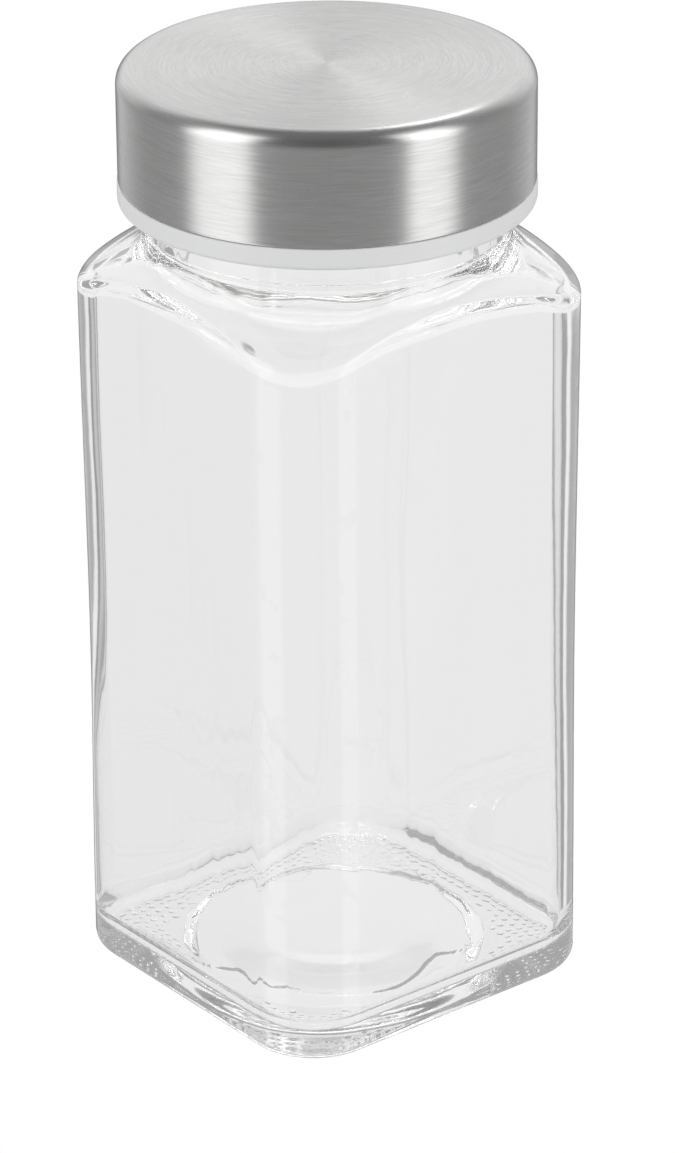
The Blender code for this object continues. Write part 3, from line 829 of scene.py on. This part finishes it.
class Glow:
    """Nodes that work out how bright the studio is at a place or in a direction."""

    def __init__(self, tree, vector):
        self.tree = tree
        self.vector = vector

    def add(self, kind, **settings):
        made = self.tree.nodes.new(kind)
        for name, value in settings.items():
            setattr(made, name, value)
        return made

    def join(self, source, target):
        self.tree.links.new(source, target)

    def along(self, axis):
        dot = self.add("ShaderNodeVectorMath", operation="DOT_PRODUCT")
        dot.inputs[1].default_value = axis
        self.join(self.vector, dot.inputs[0])
        return dot.outputs["Value"]

    def math(self, operation, one, two=None):
        made = self.add("ShaderNodeMath", operation=operation)
        self.join(one, made.inputs[0])
        if two is not None:
            self.join(two, made.inputs[1])
        return made.outputs[0]

    def fade(self, value, low, high, to_low=0.0, to_high=1.0):
        made = self.add("ShaderNodeMapRange", interpolation_type="SMOOTHSTEP")
        self.join(value, made.inputs["Value"])
        made.inputs["From Min"].default_value = low
        made.inputs["From Max"].default_value = high
        made.inputs["To Min"].default_value = to_low
        made.inputs["To Max"].default_value = to_high
        return made.outputs["Result"]

    def turn(self, aside, ahead):
        return self.math("ARCTAN2", self.along(aside), self.along(ahead))

    def ring(self, stops, aside, ahead):
        turn = self.turn(aside, ahead)
        share = self.add("ShaderNodeMapRange")
        share.inputs["From Min"].default_value = -math.pi
        share.inputs["From Max"].default_value = math.pi
        self.join(turn, share.inputs["Value"])
        ramp = self.add("ShaderNodeValToRGB")
        band = ramp.color_ramp
        while len(band.elements) < len(stops):
            band.elements.new(0.5)
        for element, (degrees, value) in zip(band.elements, stops):
            element.position = (degrees + 180) / 360
            element.color = (value / 2, value / 2, value / 2, 1)
        self.join(share.outputs[0], ramp.inputs[0])
        double = self.add("ShaderNodeMath", operation="MULTIPLY")
        self.join(ramp.outputs[0], double.inputs[0])
        double.inputs[1].default_value = 2.0
        return double.outputs[0]

    def mix(self, factor, one, two):
        made = self.add("ShaderNodeMix")
        self.join(factor, made.inputs["Factor"])
        for socket, value in ((made.inputs[2], one), (made.inputs[3], two)):
            if isinstance(value, float):
                socket.default_value = value
            else:
                self.join(value, socket)
        return made.outputs[0]


def studio():
    """One world for every kind of ray.

    What the object mirrors is a light tent with a strip light on each side and a lamp over the
    camera. What shows through the glass is a pale room with dark cards low behind the jar, which
    draw the glass's edges. The camera itself sees plain white.
    """
    world = bpy.data.worlds.new("studio")
    world.use_nodes = True
    world.cycles.sampling_method = "NONE"
    bpy.context.scene.world = world
    tree = world.node_tree
    tree.nodes.clear()
    glow = Glow(tree, tree.nodes.new("ShaderNodeTexCoord").outputs["Generated"])
    up = glow.along((0, 0, 1))
    ray = glow.add("ShaderNodeLightPath").outputs

    low = glow.ring(LOW_STOPS, RIGHT, BACK)
    high = glow.ring(HIGH_STOPS, RIGHT, BACK)
    tent = glow.mix(glow.fade(up, -0.12, 0.16), low, high)
    tent = glow.mix(glow.fade(up, 0.68, 0.90), tent, OVERHEAD)
    lamp = (RIGHT * 0.18 - BACK * 0.67 + Vector((0, 0, 0.72))).normalized()
    tent = glow.mix(glow.fade(glow.along(lamp), 0.988, 0.996), tent, LAMP)
    tent = glow.mix(glow.fade(ray["Is Singular Ray"], 0.0, 1.0, 0.0, SINGULAR_SHARE), tent, SINGULAR)

    inner = glow.math("SUBTRACT", ray["Ray Depth"], ray["Transmission Depth"])
    straight = glow.ring(CARD_STOPS, -RIGHT, -BACK)
    reflected = glow.ring(INNER_STOPS, -RIGHT, -BACK)
    room = glow.mix(glow.fade(inner, 1.2, 1.8), straight, reflected)
    room = glow.mix(glow.fade(up, -0.52, -0.48), THROUGH, room)
    room = glow.mix(glow.fade(up, -0.33, -0.28), room, THROUGH_HIGH)
    room = glow.mix(glow.fade(inner, 3.0, 5.5), room, INNER)

    mirror = glow.math("MULTIPLY", ray["Is Glossy Ray"], ray["Is Reflection Ray"])
    value = glow.mix(mirror, room, tent)
    value = glow.mix(glow.fade(ray["Ray Depth"], *TRAPPED_DEPTH), value, TRAPPED)
    value = glow.mix(ray["Is Camera Ray"], value, 1.0)
    shade = glow.add("ShaderNodeBackground")
    shade.inputs["Color"].default_value = (1, 1, 1, 1)
    glow.join(value, shade.inputs["Strength"])
    glow.join(shade.outputs[0], glow.add("ShaderNodeOutputWorld").inputs["Surface"])


def white_floor():
    """A plain white floor that only the camera sees."""
    mesh = bpy.data.meshes.new("floor")
    corners = [(x * FLOOR_SIDE, y * FLOOR_SIDE, 0) for x, y in ((-1, -1), (1, -1), (1, 1), (-1, 1))]
    mesh.from_pydata(corners, [], [(0, 1, 2, 3)])
    floor = bpy.data.objects.new("floor", mesh)
    floor.location.z = -FLOOR_GAP
    floor.visible_diffuse = False
    floor.visible_glossy = False
    floor.visible_transmission = False
    floor.visible_shadow = False
    bpy.context.scene.collection.objects.link(floor)
    paint = bpy.data.materials.new("white_sweep")
    paint.use_nodes = True
    tree = paint.node_tree
    tree.nodes.clear()
    glow = Glow(tree, None)
    shade = glow.add("ShaderNodeEmission")
    glow.join(shade.outputs[0], glow.add("ShaderNodeOutputMaterial").inputs["Surface"])
    mesh.materials.append(paint)


def fill():
    """Stands in for the light that clear glass lets up into the neck, where shadow rays can't follow."""
    data = bpy.data.lights.new("fill", "AREA")
    data.shape = "DISK"
    data.size = 2 * BORE_RADIUS - 0.002
    data.energy = FILL_POWER
    made = bpy.data.objects.new("fill", data)
    made.location = (0, 0, FILL_HEIGHT)
    made.rotation_euler = (2 * QUARTER, 0, 0)
    made.visible_camera = False
    made.visible_glossy = False
    made.visible_transmission = False
    bpy.context.scene.collection.objects.link(made)


def camera():
    """The photograph's camera, set close to a fit to the outlines."""
    back = BACK * math.cos(ELEVATION) + Vector((0, 0, math.sin(ELEVATION)))
    target = RIGHT * 0.001 + Vector((0, 0, 0.0481))
    place = target + back * DISTANCE
    up = RIGHT.cross(-back)
    right = RIGHT * math.cos(ROLL) + up * math.sin(ROLL)
    above = up * math.cos(ROLL) - RIGHT * math.sin(ROLL)
    data = bpy.data.cameras.new("camera")
    data.sensor_width = SENSOR
    data.lens = FOCAL_PIXELS * SENSOR / FRAME_HEIGHT
    data.clip_start = 0.01
    data.clip_end = 20.0
    made = bpy.data.objects.new("camera", data)
    made.matrix_world = Matrix((
        (right.x, above.x, back.x, place.x),
        (right.y, above.y, back.y, place.y),
        (right.z, above.z, back.z, place.z),
        (0, 0, 0, 1),
    ))
    bpy.context.scene.collection.objects.link(made)
    bpy.context.scene.camera = made


studio()
white_floor()
fill()
camera()

scene = bpy.context.scene
scene.view_settings.view_transform = "Standard"
scene.view_settings.look = "None"
scene.cycles.max_bounces = 24
scene.cycles.transmission_bounces = 24
scene.cycles.glossy_bounces = 24
scene.cycles.diffuse_bounces = 6
scene.cycles.transparent_max_bounces = 16
